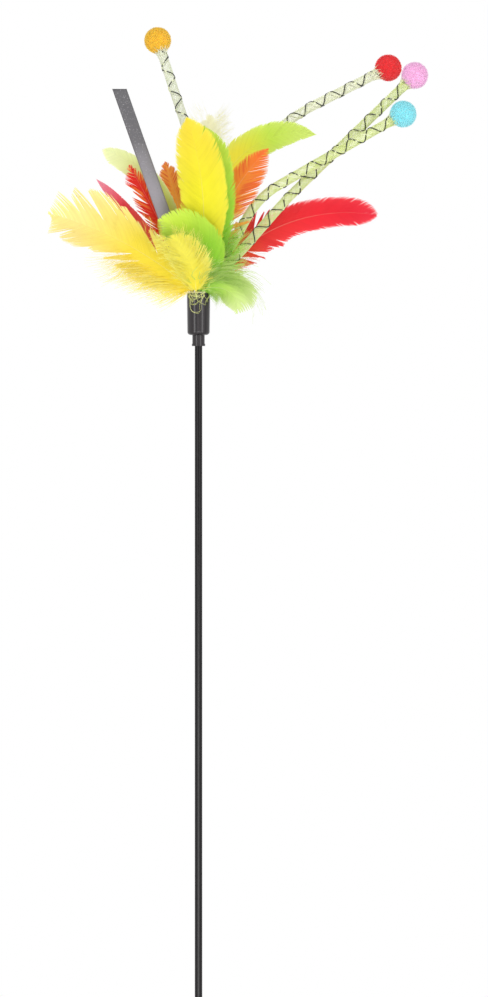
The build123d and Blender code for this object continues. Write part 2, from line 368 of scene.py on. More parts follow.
LAMPS = {
    "key": Lamp((0.9, 0.9), 6.6, (0.5, -1.5, 1.3)),
    "left_strip": Lamp((0.4, 1.4), 6.5, (-1.0, -1.2, 0.4)),
    "right_strip": Lamp((0.4, 1.4), 5.7, (1.0, -1.2, 0.4)),
    "back": Lamp((0.9, 0.9), 9.0, (-0.3, 1.3, 1.0)),
    "low_fill": Lamp((1.0, 0.4), 6.6, (0.0, -1.5, 0.05)),
}


class Value:
    """A number inside a node tree. Arithmetic on it adds Math nodes to that tree."""

    def __init__(self, nodes, socket):
        self.nodes = nodes
        self.socket = socket

    def math(self, operation, *others):
        return self.nodes.add("ShaderNodeMath", (self, *others), operation=operation)

    def __add__(self, other):
        return self.math("ADD", other)

    def __sub__(self, other):
        return self.math("SUBTRACT", other)

    def __mul__(self, other):
        return self.math("MULTIPLY", other)

    def __truediv__(self, other):
        return self.math("DIVIDE", other)

    def __pow__(self, other):
        return self.math("POWER", other)

    def __mod__(self, other):
        return self.math("MODULO", other)

    def __neg__(self):
        return self * -1.0

    def __radd__(self, other):
        return self + other

    def __rmul__(self, other):
        return self * other

    def __rsub__(self, other):
        return -self + other

    def floor(self):
        return self.math("FLOOR")

    def sine(self):
        return self.math("SINE")

    def cosine(self):
        return self.math("COSINE")

    def at_least(self, other):
        return self.math("MAXIMUM", other)

    def at_most(self, other):
        return self.math("MINIMUM", other)

    def eased(self, start, end):
        """0 up to start, 1 from end on and smooth between."""
        feeds = {"Value": self, "From Min": start, "From Max": end}
        return self.nodes.add("ShaderNodeMapRange", feeds, interpolation_type="SMOOTHSTEP")


class Nodes:
    """Adds nodes to a tree and feeds their sockets."""

    def __init__(self, tree):
        self.tree = tree

    def add(self, kind, feeds=(), out=0, **settings):
        """A new node: values of the tree are linked to its sockets, plain numbers are set on them."""
        node = self.tree.nodes.new(kind)
        for name, value in settings.items():
            setattr(node, name, value)
        pairs = feeds.items() if isinstance(feeds, dict) else enumerate(feeds)
        for slot, value in pairs:
            if isinstance(value, Value):
                self.tree.links.new(value.socket, node.inputs[slot])
            else:
                node.inputs[slot].default_value = value
        return Value(self, node.outputs[out])

    def parts(self, vector):
        """The three numbers of a vector."""
        node = self.tree.nodes.new("ShaderNodeSeparateXYZ")
        self.tree.links.new(vector.socket, node.inputs[0])
        return [Value(self, output) for output in node.outputs]

    def curve(self, value, points):
        """A smooth curve through the points, read at value."""
        node = self.tree.nodes.new("ShaderNodeFloatCurve")
        line = node.mapping.curves[0]
        for place, point in enumerate(points):
            if place < len(line.points):
                line.points[place].location = point
            else:
                line.points.new(*point)
        node.mapping.update()
        self.tree.links.new(value.socket, node.inputs["Value"])
        return Value(self, node.outputs[0])


class PieceTree(Nodes):
    """A Geometry Nodes tree with named inputs, made of closed bars that a formula lays in place."""

    def __init__(self, name, sizes):
        super().__init__(bpy.data.node_groups.new(name, "GeometryNodeTree"))
        self.identifiers = {}
        face = self.tree.interface
        face.new_socket("Geometry", in_out="OUTPUT", socket_type="NodeSocketGeometry")
        for label, value in {**sizes, "Seed": 1}.items():
            kind = "NodeSocketInt" if isinstance(value, int) else "NodeSocketFloat"
            socket = face.new_socket(label, in_out="INPUT", socket_type=kind)
            socket.default_value = value
            self.identifiers[label] = socket.identifier
        socket = face.new_socket("Finish", in_out="INPUT", socket_type="NodeSocketMaterial")
        self.identifiers["Finish"] = socket.identifier
        self.entry = self.tree.nodes.new("NodeGroupInput")

    def size(self, label):
        """A named input of the tree."""
        return Value(self, self.entry.outputs[label])

    def chance(self, number, stream):
        """A random number from 0 to 1 for each whole number, apart for each stream. Sockets 2 and 3 are
        the limits of a float, 7 is the number and 8 the seed."""
        feeds = {2: 0.0, 3: 1.0, 7: number, 8: self.size("Seed") * SEED_STEP + stream}
        return self.add("FunctionNodeRandomValue", feeds, out=1, data_type="FLOAT")

    def between(self, number, stream, low, high):
        """A random number from low to high."""
        return self.chance(number, stream) * (high - low) + low

    def store(self, geometry, name, value):
        """Stores a number on every point."""
        feeds = {"Geometry": geometry, "Name": name, "Value": value}
        return self.add("GeometryNodeStoreNamedAttribute", feeds, data_type="FLOAT", domain="POINT")

    def bars(self, count, steps, across=2):
        """Unit bars at one place: the geometry, each bar's number, the share along it from 0 to 1, and
        the shares across its width and its thickness from -0.5 to 0.5."""
        spots = self.add("GeometryNodeMeshLine", {"Count": count, "Offset": (0.0, 0.0, 0.0)})
        spots = self.store(spots, "bar", self.add("GeometryNodeInputIndex"))
        counts = {"Vertices X": steps, "Vertices Y": across, "Vertices Z": 2}
        bar = self.add("GeometryNodeMeshCube", counts)
        copies = self.add("GeometryNodeInstanceOnPoints", {"Points": spots, "Instance": bar})
        bars = self.add("GeometryNodeRealizeInstances", {"Geometry": copies})
        number = self.add("GeometryNodeInputNamedAttribute", {"Name": "bar"}, data_type="FLOAT")
        along, width, thickness = self.parts(self.add("GeometryNodeInputPosition"))
        return bars, number, along + 0.5, width, thickness

    def lay(self, geometry, x, y, z, **marks):
        """Moves the points to x, y, z and stores the marks for the finish to read."""
        for name, value in marks.items():
            geometry = self.store(geometry, name, value)
        place = self.add("ShaderNodeCombineXYZ", (x, y, z))
        return self.add("GeometryNodeSetPosition", {"Geometry": geometry, "Position": place})

    def rounded(self, geometry):
        """Smooth shading."""
        return self.add("GeometryNodeSetShadeSmooth", {"Geometry": geometry})

    def finish(self, *geometry):
        """Joins the parts, makes them real and gives them their finish."""
        join = self.tree.nodes.new("GeometryNodeJoinGeometry")
        for value in geometry:
            self.tree.links.new(value.socket, join.inputs[0])
        whole = self.add("GeometryNodeRealizeInstances", (Value(self, join.outputs[0]),))
        whole = self.add("GeometryNodeSetMaterial", {"Geometry": whole, "Material": self.size("Finish")})
        leave = self.tree.nodes.new("NodeGroupOutput")
        self.tree.links.new(whole.socket, leave.inputs[0])
        return self


def grown(name, piece_tree, finish, place, sizes):
    """The piece that a tree gives for these sizes, as a plain mesh set in place."""
    source = bpy.data.objects.new(name, bpy.data.meshes.new(name))
    bpy.context.scene.collection.objects.link(source)
    modifier = source.modifiers.new("make", "NODES")
    modifier.node_group = piece_tree.tree
    for label, value in {**sizes, "Finish": finish}.items():
        modifier[piece_tree.identifiers[label]] = value
    depsgraph = bpy.context.evaluated_depsgraph_get()
    mesh = bpy.data.meshes.new_from_object(source.evaluated_get(depsgraph), depsgraph=depsgraph)
    source.modifiers.clear()
    source.data = mesh
    mesh.name = name
    mesh.transform(place)
    return source


# Trees

def feather_tree():
    """Rachis and barbs in a plane: x to the right, y up the stem, z towards the viewer."""
    tree = PieceTree("dyed_feather", {
        "Length": 0.1, "Lead": 0.0, "Start": 0.0, "Turn": 0.5, "Bow": 0.0, "Dip": 0.0,
        "Left": 0.01, "Right": 0.01, "Widen": 0.0, "Blunt": 0.0,
        "Barbs": 150, "Barb Width": 0.001, "Sweep": BARB_SWEEP,
        "Clumps": 8, "Split": 0.2, "Ragged": 0.1, "Lift": CLUMP_LIFT, "Combed": 2.0, "Comb Reach": 0.0,
        "Down": 0.3, "Fluff": 0.004, "Hairs": 300, "Hair Length": 1.0, "Hairs Right": 0.5,
    })
    length = tree.size("Length")
    start = tree.size("Start")
    lead = tree.size("Lead")
    split = tree.size("Split")
    down_end = tree.size("Down")
    comb_end = tree.size("Combed")
    radius = (length - lead) / tree.size("Turn")
    bare = QUILL_LENGTH - down_end * DOWN_DROP
    vane = length - bare

    def half_width(on_right):
        """Widest half width on the left, for 0, or on the right, for 1."""
        return tree.size("Left") + (tree.size("Right") - tree.size("Left")) * on_right

    def on_rachis(across, along, over):
        """A point of the flat feather carried onto its bent and bowed rachis."""
        share = along / length
        straight = along.at_most(lead)
        angle = start + (along - straight) / radius
        x = start.sine() * straight + radius * (start.cosine() - angle.cosine()) + across * angle.cosine()
        y = start.cosine() * straight + radius * (angle.sine() - start.sine()) - across * angle.sine()
        z = tree.size("Bow") * share * share + over
        return x, y, z

    # Barbs: their place on the rachis, the vane's outline there, and the clump that each belongs to
    barbs = tree.size("Barbs")
    bars, number, reach, width, thickness = tree.bars(barbs * 2.0, BARB_STEPS)
    pair = (number / 2.0).floor()
    side = 1.0 - number % 2.0 * 2.0
    on_right = side * 0.5 + 0.5
    share = (pair + tree.between(number, 1, *BARB_PLACES)) / barbs
    half = half_width(on_right) * (1.0 + tree.size("Widen") * on_right * share.eased(*WIDENING))
    outline = tree.curve(share, VANE_OUTLINE) ** (1.0 - tree.size("Blunt"))
    past = ((share - TIP_ROUNDED_FROM) / (1.0 - TIP_ROUNDED_FROM)).at_least(0.0)
    outline = outline * (1.0 - past * past).at_least(0.0).math("SQRT")
    clumped = share * tree.size("Clumps") + side * CLUMP_STAGGER
    clumped = clumped + (clumped * CLUMP_WAVES + tree.size("Seed")).sine() * CLUMP_UNEVEN
    clump = clumped.floor()
    clump_chance = tree.chance(clump * 2.0 + side, 2)
    off_centre = (clump + 0.5 - clumped) / tree.size("Clumps")

    # How downy and how combed a barb is, and what that does to its length
    down = 1.0 - share.eased(down_end * DOWN_FULL, down_end)
    wild = tree.chance(number, 3)
    combed = 1.0 - share.eased(comb_end * COMB_FULL, comb_end)
    parted = (1.0 - down) * combed
    shorter = 1.0 - tree.size("Ragged") * clump_chance * parted - tree.chance(number, 4) * BARB_UNEVEN
    longer = 1.0 + down * wild * DOWN_STRAY + combed * share.eased(*COMB_START) * tree.size("Comb Reach")
    span = half * outline * shorter * longer

    # The barb's own curve, from its root to its point
    tip = share * vane + bare
    root = (tip - tree.size("Sweep") * half * outline).at_least(bare * LOWEST_ROOT)
    gather = split * off_centre * vane * reach * reach * parted
    wave = (reach * DOWN_WAVES + wild * WILD_TURN).sine() * reach * down * DOWN_WAVE
    point = 1.0 - reach ** (BLUNT_POINT - split * combed * (BLUNT_POINT - FINE_POINT)) * POINT_TAPER
    breadth = side * width * tree.size("Barb Width") * point * (1.0 - down * DOWN_THINNER)
    along = root + (tip - root) * reach ** BARB_BEND + gather + wave + breadth
    across = side * (span * reach ** BARB_SPREAD + wave)
    fluff = tree.between(number, 5, -1.0, 1.0) * tree.size("Fluff") * down * reach
    lift = (clump_chance - 0.5) * tree.size("Lift") * reach
    shingle = breadth * BARB_SLOPE + tree.chance(number, 6) * 0.5 * BARB_THICKNESS
    dip = tree.size("Dip") * outline * reach * reach
    vanes = tree.lay(
        bars, *on_rachis(across, along, fluff + lift + shingle - dip + thickness * BARB_THICKNESS),
        share=along / length, reach=reach, tone=wild * OWN_TONE + clump_chance * (1.0 - OWN_TONE),
        down=down, shaft=0.0,
    )

    # Loose hairs of the down
    bars, number, reach, width, thickness = tree.bars(tree.size("Hairs"), HAIR_STEPS)
    side = tree.chance(number, 16).math("LESS_THAN", tree.size("Hairs Right")) * 2.0 - 1.0
    half = half_width(side * 0.5 + 0.5)
    root = QUILL_LENGTH * HAIR_LOWEST + tree.chance(number, 11) * down_end * vane
    outline = tree.curve(root / length, VANE_OUTLINE)
    fullness = outline * (1.0 - HAIR_LEAST_FULLNESS) + HAIR_LEAST_FULLNESS
    span = half * tree.size("Hair Length") * fullness * tree.between(number, 12, HAIR_SHORTEST, 1.0)
    lean = tree.between(number, 13, *HAIR_LEAN)
    wild = tree.chance(number, 14)
    wave = (reach * HAIR_WAVES + wild * WILD_TURN).sine() * reach * HAIR_WAVE
    inside = (root / length).eased(*HAIR_SINKING) * HAIR_HIDDEN
    out = inside + reach * (HAIR_REACH - inside)
    along = root + span * (lean.cosine() * out + reach * reach * HAIR_CURL) + wave + side * width * HAIR
    across = side * (span * lean.sine() * out + wave)
    over = tree.between(number, 15, -HAIR_DEPTH, HAIR_DEPTH) * span * reach + wave
    hairs = tree.lay(
        bars, *on_rachis(across, along, over + thickness * HAIR * HAIR_FLATNESS),
        share=along / length, reach=reach, tone=wild, down=1.0, shaft=0.0,
    )

    # Rachis, thinner where it passes through down
    bars, _, reach, width, thickness = tree.bars(1, RACHIS_STEPS)
    girth = QUILL_DIAMETER + (RACHIS - QUILL_DIAMETER) * reach.eased(*QUILL_ENDING)
    girth = girth * (1.0 - reach * RACHIS_TAPER)
    girth = girth * (1.0 - down_end * RACHIS_IN_DOWN * reach.eased(*RACHIS_THINNING))
    shaft = tree.lay(
        bars, *on_rachis(-width * girth, reach * length * RACHIS_LENGTH, thickness * girth),
        share=reach, reach=0.0, tone=0.5, down=0.0, shaft=1.0,
    )
    vanes = tree.add("GeometryNodeSetShadeSmooth", {"Geometry": vanes, "Shade Smooth": False})
    return tree.finish(vanes, hairs, tree.rounded(shaft))


def sleeve_tree():
    """Threads wound both ways round a path of a straight run, a bend and a straight run."""
    tree = PieceTree("wound_threads", {
        "First": 0.05, "Bend": 0.05, "Leave": 0.0, "Arrive": 0.5, "From": 0.0, "To": 0.15,
        "Root Radius": SLEEVE_ROOT_DIAMETER / 2, "Open Radius": SLEEVE_DIAMETER / 2,
        "Pitch": MESH_PITCH, "Threads": MESH_THREADS, "Thread": MESH_THREAD,
        "Flare": 0.0, "Stray": 0.0, "Steps": MESH_STEPS,
    })
    leave = tree.size("Leave")
    arrive = tree.size("Arrive")
    first = tree.size("First")
    bend = tree.size("Bend")
    threads = tree.size("Threads")
    bars, number, share, width, thickness = tree.bars(threads * 2.0, tree.size("Steps"))
    way = 1.0 - number % 2.0 * 2.0
    stray = tree.chance(number, 1)
    run = tree.size("To") - tree.size("From")
    along = tree.size("From") + run * share
    opening = (along / SLEEVE_GATHER_LENGTH).at_most(1.0)
    radius = tree.size("Root Radius") + (tree.size("Open Radius") - tree.size("Root Radius")) * opening
    radius = radius + tree.size("Flare") * share * share * (stray + FRAY_LEAST_FLARE)
    radius = radius + thickness * tree.size("Thread") * THREAD_FLATNESS
    turn = (number / 2.0).floor() / threads + way * along / tree.size("Pitch") + stray * tree.size("Stray")
    turn = turn * (2.0 * pi) + width * tree.size("Thread") / radius
    angle = leave + (arrive - leave) * ((along - first) / bend).at_least(0.0).at_most(1.0)
    bend_radius = bend / (arrive - leave)
    before = along.at_most(first)
    after = (along - first - bend).at_least(0.0)
    aside = radius * turn.cosine()
    x = leave.sine() * before + bend_radius * (leave.cosine() - angle.cosine()) + arrive.sine() * after
    y = leave.cosine() * before + bend_radius * (angle.sine() - leave.sine()) + arrive.cosine() * after
    wound = tree.lay(
        bars, x + aside * angle.cosine(), y - aside * angle.sine(), radius * turn.sine(),
        share=along / tree.size("To"), tone=stray,
    )
    return tree.finish(tree.rounded(wound))


def pompom_tree():
    """Short curled fibres that stand out of a lumpy core."""
    tree = PieceTree("pompom", {
        "Radius": POMPOM_DIAMETER / 2, "Core": POMPOM_CORE * POMPOM_DIAMETER / 2,
        "Fibres": POMPOM_FIBRES, "Fibre": POMPOM_FIBRE, "Curl": FIBRE_CURL,
    })
    fibres = tree.size("Fibres")
    bars, number, reach, width, thickness = tree.bars(fibres, FIBRE_STEPS)
    height = 1.0 - (number + 0.5) * 2.0 / fibres
    ring = (1.0 - height * height).math("SQRT")
    turn = number * GOLDEN_ANGLE + tree.chance(number, 1) * FIBRE_SCATTER
    curl = tree.size("Curl") * reach * reach
    along = tree.size("Core") * FIBRE_ROOT
    along = along + (tree.size("Radius") - along) * reach * tree.between(number, 2, *FIBRE_LENGTH)
    girth = tree.size("Fibre") * (FIBRE_STOUTNESS - reach)
    round_about = tree.between(number, 3, -1.0, 1.0) * curl + width * girth
    up_down = tree.between(number, 4, -1.0, 1.0) * curl + thickness * girth
    x = ring * turn.cosine() * along - turn.sine() * round_about - height * turn.cosine() * up_down
    y = ring * turn.sine() * along + turn.cosine() * round_about - height * turn.sine() * up_down
    z = height * along + ring * up_down
    fuzz = tree.lay(bars, x, y, z, reach=reach, tone=tree.chance(number, 5))
    ball = {"Radius": tree.size("Core"), "Subdivisions": CORE_FINENESS}
    core = tree.add("GeometryNodeMeshIcoSphere", ball)
    lumps = tree.add("ShaderNodeTexNoise", {"Scale": CORE_LUMPS_PER_METRE})
    outward = {0: tree.add("GeometryNodeInputNormal"), "Scale": (lumps - 0.5) * CORE_LUMP_HEIGHT}
    push = tree.add("ShaderNodeVectorMath", outward, operation="SCALE")
    core = tree.add("GeometryNodeSetPosition", {"Geometry": core, "Offset": push})
    # The core stores no reach, so its finish gives it the painted shade of the fibre roots
    return tree.finish(tree.rounded(fuzz), tree.store(core, "tone", lumps))


def stray_tree():
    """Loose threads that loop out of the ferrule's mouth and hang over its front."""
    tree = PieceTree("stray_threads", {
        "Threads": STRAY_THREADS, "Thread": STRAY_THREAD, "Mouth": 0.42, "Hang": STRAY_HANG,
    })
    bars, number, share, width, thickness = tree.bars(tree.size("Threads"), STRAY_STEPS)
    out = (share * pi).sine()
    droop = tree.chance(number, 1) ** STRAY_FEW_HANG * (1.0 - STRAY_LEAST_HANG) + STRAY_LEAST_HANG
    drop = tree.size("Hang") * droop + STRAY_RISE
    over_rim = out.eased(*STRAY_OVER_RIM)
    radius = CUP_RADIUS * (over_rim * (1.0 - STRAY_INSIDE) + STRAY_INSIDE)
    radius = radius + over_rim * STRAY_CLEARANCE + thickness * tree.size("Thread")
    middle = tree.between(number, 2, *STRAY_PLACES)
    angle = middle + (share - 0.5) * tree.between(number, 3, *STRAY_LOOP)
    wave = (share * STRAY_WAVES + tree.chance(number, 4) * STRAY_WILD_TURN).sine() * STRAY_WAVE
    heading = share * pi
    angle = angle + wave + width * heading.cosine() * tree.size("Thread") / CUP_RADIUS
    z = tree.size("Mouth") + STRAY_RISE - drop * out ** STRAY_BELLY
    z = z + width * heading.sine() * tree.size("Thread")
    x = radius * angle.sine()
    y = -(radius * angle.cosine())
    loops = tree.lay(bars, x, y, z, share=share, tone=tree.chance(number, 5))
    return tree.finish(tree.rounded(loops))


def ribbon_tree():
    """Film strip: pleated where it is gathered, lightly cupped and creased above, its top cut level."""
    tree = PieceTree("film_ribbon", {"Length": 0.11, "Slant": -0.3, "Crease": CREASE_HEIGHT})
    slant = tree.size("Slant")
    strip, _, share, width, thickness = tree.bars(1, RIBBON_STEPS, RIBBON_STEPS_ACROSS)
    along = share * tree.size("Length")
    opened = along.eased(0.0, RIBBON_GATHER_LENGTH)
    width = -width
    across = width * (RIBBON_NECK_WIDTH + (RIBBON_WIDTH - RIBBON_NECK_WIDTH) * opened)
    along = along + across * slant.math("TANGENT") * share
    pleats = (width * PLEATS_ACROSS).sine() * (1.0 - opened) * PLEAT_DEPTH
    cupped = width * width * opened * RIBBON_CUPPING
    fold = (along - tree.size("Crease")).at_least(0.0) * CREASE_SLOPE
    waver = (along * WAVER_PER_METRE).sine() * (width + 0.5) * WAVER_DEPTH
    over = pleats - cupped - fold + waver + thickness * FILM_THICKNESS
    x = along * slant.sine() + across * slant.cosine()
    y = along * slant.cosine() - across * slant.sine()
    return tree.finish(tree.rounded(tree.lay(strip, x, y, over, share=share, tone=width + 0.5)))


# Finishes

def dye(red, green, blue):
    """A colour as seen on a screen, from 0 to 255, as the shader's own linear colour."""
    def linear(level):
        level = level / 255.0
        return level / 12.92 if level <= 0.04045 else ((level + 0.055) / 1.055) ** 2.4
    return linear(red), linear(green), linear(blue), 1.0


def grey(level):
    """A neutral colour of that linear level."""
    return level, level, level, 1.0


class FinishTree(Nodes):
    """A node material with one Principled shader."""

    def __init__(self, name, **constants):
        self.material = bpy.data.materials.new(name)
        self.material.use_nodes = True
        super().__init__(self.material.node_tree)
        self.shader = self.tree.nodes["Principled BSDF"]
        for label, value in constants.items():
            self.shader.inputs[label.replace("_", " ")].default_value = value

    def mark(self, name):
        """A number that the piece's points carry."""
        return self.add("ShaderNodeAttribute", out=2, attribute_name=name)

    def place(self, scale=(1.0, 1.0, 1.0)):
        """Where a point is on the piece, stretched by scale."""
        where = self.tree.nodes.new("ShaderNodeTexCoord")
        feeds = {"Vector": Value(self, where.outputs["Object"]), "Scale": scale}
        return self.add("ShaderNodeMapping", feeds)

    def noise(self, scale, detail=2.0, stretch=(1.0, 1.0, 1.0)):
        """Cloudy grain, with scale in lumps per metre or so."""
        feeds = {"Vector": self.place(stretch), "Scale": scale, "Detail": detail}
        return self.add("ShaderNodeTexNoise", feeds)

    def ramp(self, value, stops):
        """Colours along value, given as (place, colour)."""
        node = self.tree.nodes.new("ShaderNodeValToRGB")
        elements = node.color_ramp.elements
        while len(elements) < len(stops):
            elements.new(1.0)
        for element, (place, colour) in zip(elements, stops):
            element.position = place
            element.color = colour
        self.tree.links.new(value.socket, node.inputs[0])
        return Value(self, node.outputs[0])

    def mixed(self, share, one, other, how="MIX"):
        """One colour turned into the other by share. Sockets 6 and 7 are the colours."""
        feeds = {0: share, 6: one, 7: other}
        return self.add("ShaderNodeMix", feeds, out=2, data_type="RGBA", blend_type=how)

    def set(self, **links):
        """Links values to the shader's sockets."""
        for label, value in links.items():
            self.tree.links.new(value.socket, self.shader.inputs[label.replace("_", " ")])

    def bump(self, height, strength, distance):
        """Fine relief."""
        feeds = {"Strength": strength, "Distance": distance, "Height": height}
        self.set(Normal=self.add("ShaderNodeBump", feeds))


def black_moulding(name, shine, gloss, grain, deep, pale):
    """Gloss black plastic with faint drawing lines along its length and small rough spots."""
    finish = FinishTree(name, Specular_IOR_Level=shine)
    lines = finish.noise(scale=900.0, detail=3.0, stretch=(1.0, 1.0, 0.02))
    spots = finish.noise(scale=260.0, detail=4.0)
    finish.set(Base_Color=finish.ramp(lines, ((0.3, deep), (0.75, pale))))
    finish.set(Roughness=spots * 0.14 + gloss)
    finish.bump(lines * 0.7 + spots * 0.3, strength=grain, distance=0.3 * MM)
    return finish.material


def soft_rubber():
    """Matt black slip-on cap."""
    finish = FinishTree("soft_rubber")
    grain = finish.noise(scale=1400.0, detail=3.0)
    finish.set(Base_Color=finish.ramp(grain, ((0.3, dye(26, 26, 28)), (0.8, dye(52, 52, 54)))))
    finish.set(Roughness=grain * 0.2 + 0.55)
    finish.bump(grain, strength=0.25, distance=0.2 * MM)
    return finish.material


def hot_melt():
    """Cloudy set glue."""
    finish = FinishTree(
        "hot_melt", Roughness=0.35, Subsurface_Weight=0.3, Subsurface_Radius=(0.002, 0.002, 0.0015),
    )
    cloud = finish.noise(scale=380.0, detail=3.0)
    finish.set(Base_Color=finish.ramp(cloud, ((0.3, dye(214, 205, 170)), (0.75, dye(240, 236, 214)))))
    finish.bump(cloud, strength=0.3, distance=0.4 * MM)
    return finish.material


def metallised_film():
    """Grey film: lavender below, darker above the crease as painted shade, and speckled above the crease."""
    finish = FinishTree("metallised_film", Metallic=0.3)
    up = finish.mark("share")
    # Painted shade: the film turns darker from the crease up, at shares 0.66 to 1
    body = finish.ramp(up, (
        (0.0, dye(134, 129, 138)), (0.45, dye(140, 135, 145)), (0.66, dye(116, 113, 119)),
        (0.74, dye(90, 88, 92)), (1.0, dye(82, 81, 84)),
    ))
    speckle = finish.noise(scale=1500.0, detail=4.0)
    bright_specks = speckle.eased(0.56, 0.72) * (up.eased(0.5, 0.75) * 0.35 + 0.08)
    dark_specks = (1.0 - speckle).eased(0.55, 0.75) * 0.25
    body = finish.mixed(bright_specks, body, dye(196, 192, 200))
    finish.set(Base_Color=finish.mixed(dark_specks, body, dye(84, 82, 88)))
    finish.set(Roughness=speckle * 0.25 + 0.33)
    finish.bump(finish.noise(scale=420.0, detail=3.0), strength=0.15, distance=0.3 * MM)
    return finish.material


def thread(name, pale, strong):
    """Fine nylon thread, each a little off the others and streaked along its run."""
    finish = FinishTree(name, Roughness=0.45, Sheen_Weight=0.2)
    shade = finish.mark("tone") * 0.6 + finish.noise(scale=700.0) * 0.4
    finish.set(Base_Color=finish.ramp(shade, ((0.2, pale), (0.8, strong))))
    return finish.material


def dashed_thread():
    """Dark crossing thread that shows in dashes where it dips under the mesh."""
    finish = FinishTree("zigzag_thread", Roughness=0.5)
    dashes = finish.noise(scale=480.0, detail=1.0).eased(0.58, 0.62)
    finish.set(Base_Color=finish.ramp(dashes, ((0.0, dye(8, 14, 12)), (1.0, dye(240, 245, 200)))))
    return finish.material


def fuzz(name, deep, bright):
    """Pompom fibres: deeper between them, as painted shade, brighter at their ends."""
    finish = FinishTree(name, Roughness=0.8, Sheen_Weight=0.4)
    # Painted shade: darker towards the fibre roots and on the core, lighter at the ends; tone and grain vary
    # at random
    shade = finish.mark("reach") * 0.55 + finish.mark("tone") * 0.3 + finish.noise(scale=300.0) * 0.15
    finish.set(Base_Color=finish.ramp(shade, ((0.1, deep), (0.75, bright))))
    return finish.material


def dyed_barbs(name, stops, edge, down, streak=None):
    """Feather dye: colours from root to tip, an edge colour, a paler colour of the down and, on some
    feathers, a colour that every other barb or so has."""
    finish = FinishTree(
        name, Roughness=0.7, Sheen_Weight=0.2, Specular_IOR_Level=0.25, Subsurface_Weight=0.15,
        Subsurface_Radius=(1.0, 1.0, 0.7), Subsurface_Scale=1.2 * MM,
    )
    reach = finish.mark("reach")
    tone = finish.mark("tone")
    body = finish.ramp(finish.mark("share"), stops)
    body = finish.mixed(reach ** 3.0 * EDGE_TINT, body, edge)
    body = finish.mixed(finish.mark("down") * reach.eased(0.25, 1.0) * DOWN_TINT, body, down)
    if streak:
        streaked = tone.eased(0.5, 0.6) * reach.eased(0.05, 0.35) * STREAK_TINT
        body = finish.mixed(streaked, body, streak)
    uneven = tone * 0.7 + finish.noise(scale=420.0) * 0.3
    shade = finish.ramp(uneven, ((0.1, grey(0.8)), (0.6, grey(1.0))))
    body = finish.mixed(SHADE_TINT, body, shade, "MULTIPLY")
    finish.set(Base_Color=finish.mixed(finish.mark("shaft") * SHAFT_TINT, body, dye(250, 246, 214)))
    return finish.material


# Feather dyes: colours along the feather, edge, down and, where there is one, the streak
FEATHER_DYES = {
    "yellow_down": (
        ((0.1, dye(255, 240, 56)), (0.6, dye(255, 245, 80))),
        dye(255, 250, 120), dye(255, 251, 130),
    ),
    "yellow_pale": (
        ((0.1, dye(255, 232, 50)), (0.45, dye(250, 226, 64)), (0.8, dye(249, 227, 134))),
        dye(252, 238, 168), dye(255, 249, 140),
    ),
    "yellow_bright": (
        ((0.1, dye(246, 238, 46)), (0.6, dye(248, 238, 34)), (0.95, dye(250, 226, 54))),
        dye(250, 240, 80), dye(250, 246, 120),
    ),
    "lime_bright": (
        (
            (0.1, dye(140, 212, 40)), (0.5, dye(154, 218, 46)),
            (0.8, dye(196, 230, 66)), (0.95, dye(206, 234, 76)),
        ),
        dye(196, 232, 72), dye(206, 236, 120),
    ),
    "lime_leaf": (
        (
            (0.45, dye(252, 230, 56)), (0.66, dye(240, 232, 62)),
            (0.8, dye(198, 230, 76)), (0.97, dye(210, 234, 112)),
        ),
        dye(214, 234, 118), dye(230, 238, 130),
    ),
    "lime_pale": (
        ((0.1, dye(150, 208, 56)), (0.5, dye(180, 218, 90)), (0.95, dye(204, 224, 140))),
        dye(218, 232, 170), dye(200, 226, 120),
    ),
    "lime_faint": (
        ((0.1, dye(200, 232, 80)), (0.6, dye(232, 248, 140)), (0.95, dye(246, 254, 190))),
        dye(246, 254, 200), dye(240, 252, 190),
    ),
    "red_deep": (
        ((0.1, dye(246, 110, 36)), (0.5, dye(244, 42, 28)), (0.9, dye(232, 26, 26))),
        dye(238, 46, 28), dye(250, 140, 64), dye(248, 124, 52),
    ),
    "red_bright": (
        (
            (0.15, dye(238, 106, 40)), (0.4, dye(236, 48, 44)),
            (0.7, dye(240, 30, 46)), (0.95, dye(224, 22, 44)),
        ),
        dye(244, 60, 70), dye(246, 140, 70),
    ),
    "red_pink": (
        ((0.3, dye(250, 130, 90)), (0.75, dye(255, 70, 92)), (0.97, dye(255, 150, 180))),
        dye(255, 116, 140), dye(250, 170, 150),
    ),
    "orange": (
        ((0.2, dye(250, 200, 66)), (0.6, dye(248, 156, 46)), (0.95, dye(236, 100, 30))),
        dye(240, 130, 44), dye(250, 214, 96), dye(228, 92, 36),
    ),
    "orange_lit": (
        ((0.2, dye(255, 204, 80)), (0.6, dye(254, 172, 62)), (0.95, dye(252, 152, 56))),
        dye(252, 160, 60), dye(255, 220, 110), dye(224, 80, 36),
    ),
    "cream_down": (
        ((0.1, dye(255, 247, 150)), (0.7, dye(255, 252, 205))),
        dye(255, 254, 235), dye(255, 254, 226),
    ),
}

# Pompom dyes: darkened between the fibres as painted shade, and at their ends
POMPOM_DYES_AND_SHADE = {
    "yellow": (dye(246, 190, 30), dye(253, 214, 56)),
    "red": (dye(236, 26, 36), dye(251, 48, 54)),
    "blue": (dye(128, 226, 238), dye(170, 243, 250)),
    "pink": (dye(250, 180, 228), dye(254, 208, 242)),
}


# Pieces

JOINTS = {joint["child"]: joint for joint in frame["joints"]}
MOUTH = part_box("ferrule")[1].z


def swing_place(body):
    """Matrix from a stem's plane to the frame: x to the right, y up the stem, z towards the viewer."""
    joint = JOINTS[body]
    right = Vector((1.0, 0.0, 0.0))
    front = Vector(joint["axis"])
    up = front.cross(right)
    place = Matrix((right, up, front)).transposed().to_4x4()
    place.translation = joint["pos_m"]
    return place


